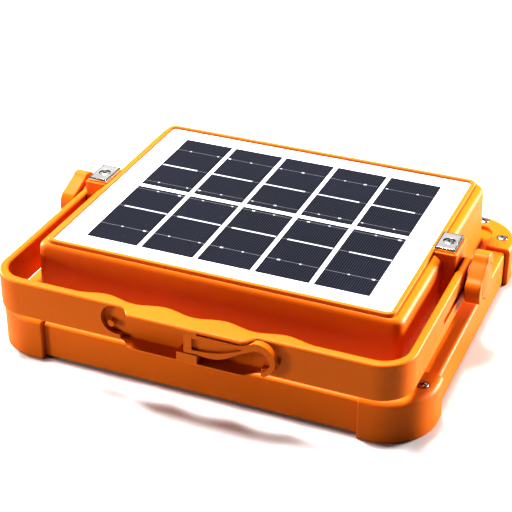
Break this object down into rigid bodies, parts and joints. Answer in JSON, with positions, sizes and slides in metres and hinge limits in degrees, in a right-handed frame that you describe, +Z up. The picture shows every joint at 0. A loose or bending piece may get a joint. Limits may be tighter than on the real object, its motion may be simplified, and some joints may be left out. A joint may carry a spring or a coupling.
{
  "type": "portable solar work light",
  "caption": "Rechargeable work light lying face down, with a solar panel on its back, a U-shaped carrying handle, a fold-out hook in its grip, clamping knobs and magnet plates.",
  "frame": {"origin": "centre of the bounding box's bottom face, on the bench that the lamp lies on", "axes": "+X along the lamp's long side; +Y from the grip towards the wall with the ports; +Z up, out of the solar panel"},
  "size_m": [0.2072, 0.1818, 0.051],
  "materials": {
    "orange": "moulded, semi-gloss",
    "orange_trim": "moulded, semi-gloss",
    "panel_white": "laminated, gloss",
    "solar_cell": "laminated, gloss",
    "steel": "zinc plated",
    "nickel": "nickel plated",
    "clear": "clear, gloss",
    "reflector": "metallised",
    "board_white": "solder mask",
    "board_green": "solder mask",
    "aluminium": "mill",
    "rubber": "matt",
    "black": "matt",
    "battery": "shrink film over a metal can"
  },
  "bodies": {
    "lamp": {"rear_housing": "orange", "lens_cover": "clear", "lens_seal": "rubber", "reflector_tray": "reflector", "led_board": "board_white", "heat_spreader": "aluminium", "corner_guard_front_left": "orange_trim", "corner_guard_front_right": "orange_trim", "corner_guard_rear_left": "orange_trim", "corner_guard_rear_right": "orange_trim", "guard_screw_front_left_side": "steel", "guard_screw_front_left_end": "steel", "guard_screw_front_right_side": "steel", "guard_screw_front_right_end": "steel", "guard_screw_rear_left_side": "steel", "guard_screw_rear_left_end": "steel", "guard_screw_rear_right_side": "steel", "guard_screw_rear_right_end": "steel", "panel_board": "panel_white", "solar_cell_1": "solar_cell", "solar_cell_2": "solar_cell", "solar_cell_3": "solar_cell", "solar_cell_4": "solar_cell", "solar_cell_5": "solar_cell", "solar_cell_6": "solar_cell", "solar_cell_7": "solar_cell", "solar_cell_8": "solar_cell", "solar_cell_9": "solar_cell", "solar_cell_10": "solar_cell", "magnet_plate_left": "nickel", "magnet_plate_right": "nickel", "magnet_screw_left": "steel", "magnet_screw_right": "steel", "pivot_nut_left": "steel", "pivot_nut_right": "steel", "control_board": "board_green", "battery_holder": "black", "battery_cell_1": "battery", "battery_cell_2": "battery", "battery_cell_3": "battery", "battery_cell_4": "battery", "usb_a_socket": "steel", "usb_c_socket": "steel", "switch_body": "black", "gauge_window": "clear"},
    "handle": {"handle_frame": "orange", "hook_pin": "steel"},
    "hook": {"hook": "orange"},
    "knob_left": {"knob_left": "orange", "knob_cap_left": "orange_trim", "pivot_bolt_left": "steel", "pivot_washer_left": "rubber"},
    "knob_right": {"knob_right": "orange", "knob_cap_right": "orange_trim", "pivot_bolt_right": "steel", "pivot_washer_right": "rubber"},
    "button": {"power_button": "rubber"},
    "cover": {"port_cover": "rubber"}
  },
  "joints": [
    {"name": "handle_swing", "type": "hinge", "parent": "lamp", "child": "handle", "pos_m": [0, 0.0056, 0.035], "axis": [-1, 0, 0], "range_deg": [-3, 184]},
    {"name": "hook_swing", "type": "hinge", "parent": "handle", "child": "hook", "pos_m": [0.0029, -0.0891, 0.0353], "axis": [0, 0, -1], "range_deg": [0, 184]},
    {"name": "knob_left_turn", "type": "hinge", "parent": "lamp", "child": "knob_left", "pos_m": [-0.0959, 0.0056, 0.035], "axis": [-1, 0, 0], "range_deg": [0, 360]},
    {"name": "knob_right_turn", "type": "hinge", "parent": "lamp", "child": "knob_right", "pos_m": [0.0959, 0.0056, 0.035], "axis": [1, 0, 0], "range_deg": [0, 360]},
    {"name": "button_press", "type": "slide", "parent": "lamp", "child": "button", "axis": [0, -1, 0], "range_m": [0, 0.001], "stiffness_N_per_m": 1500},
    {"name": "port_cover_flip", "type": "hinge", "parent": "lamp", "child": "cover", "pos_m": [0.03, 0.072, 0.0245], "axis": [-1, 0, 0], "range_deg": [0, 110]}
  ]
}
